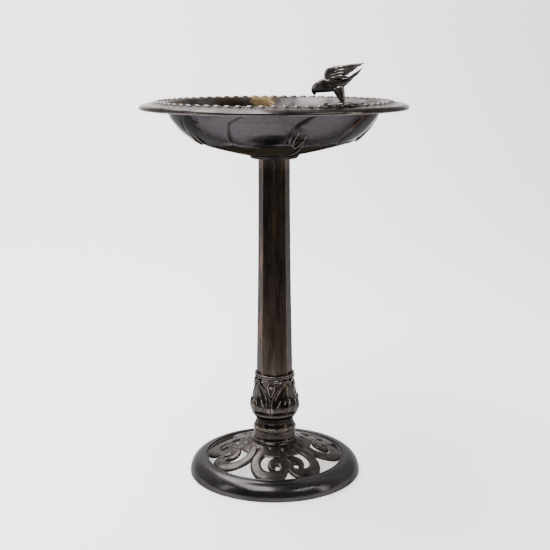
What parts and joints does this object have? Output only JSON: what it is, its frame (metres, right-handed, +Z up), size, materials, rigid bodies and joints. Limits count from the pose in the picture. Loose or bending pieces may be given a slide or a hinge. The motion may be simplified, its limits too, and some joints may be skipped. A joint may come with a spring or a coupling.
{
  "type": "bird bath",
  "caption": "Round shallow dish with an ornamented rim and a drinking bird, on a tapered octagonal column and a round openwork foot.",
  "frame": {"origin": "centre of the foot ring's resting face, on the column's axis", "axes": "+Z up along the column; -Y is the front, with the bird on the rim to the right of it (+X)"},
  "size_m": [0.5079, 0.508, 0.805],
  "materials": {
    "foot_bronze": "glossy antique-bronze coat over a casting, grey-brown with worn edges",
    "grille_bronze": "satin antique-bronze coat over a casting, rubbed lighter on the raised straps",
    "column_bronze": "glossy dark brown coat with golden-brown streaks",
    "collar_bronze": "dark antique-bronze coat with golden highlights on the relief",
    "dish_bronze": "glossy antique-bronze coat, grey-violet sheen and dark brown patches",
    "bird_bronze": "dark antique-bronze coat, rubbed lighter on the feathers",
    "zinc_steel": "zinc-plated steel",
    "seal_rubber": "matte black rubber"
  },
  "bodies": {
    "pedestal": {"foot_ring": "foot_bronze", "scroll_grille": "grille_bronze", "hub": "collar_bronze", "neck_ring": "collar_bronze", "collar": "collar_bronze", "column": "column_bronze", "column_socket": "zinc_steel", "tie_rod": "zinc_steel", "rod_washers": "zinc_steel", "rod_nuts": "zinc_steel"},
    "basin": {"dish_bowl": "dish_bronze", "dish_rim": "dish_bronze", "dish_flange": "dish_bronze", "dish_seal_washer": "seal_rubber", "dish_bolt": "zinc_steel", "bird": "bird_bronze", "bird_perch": "bird_bronze", "bird_screws": "zinc_steel"}
  },
  "joints": [
    {"name": "basin_lift", "type": "slide", "parent": "pedestal", "child": "basin", "axis": [0, 0, 1], "range_m": [0, 0.045]}
  ]
}
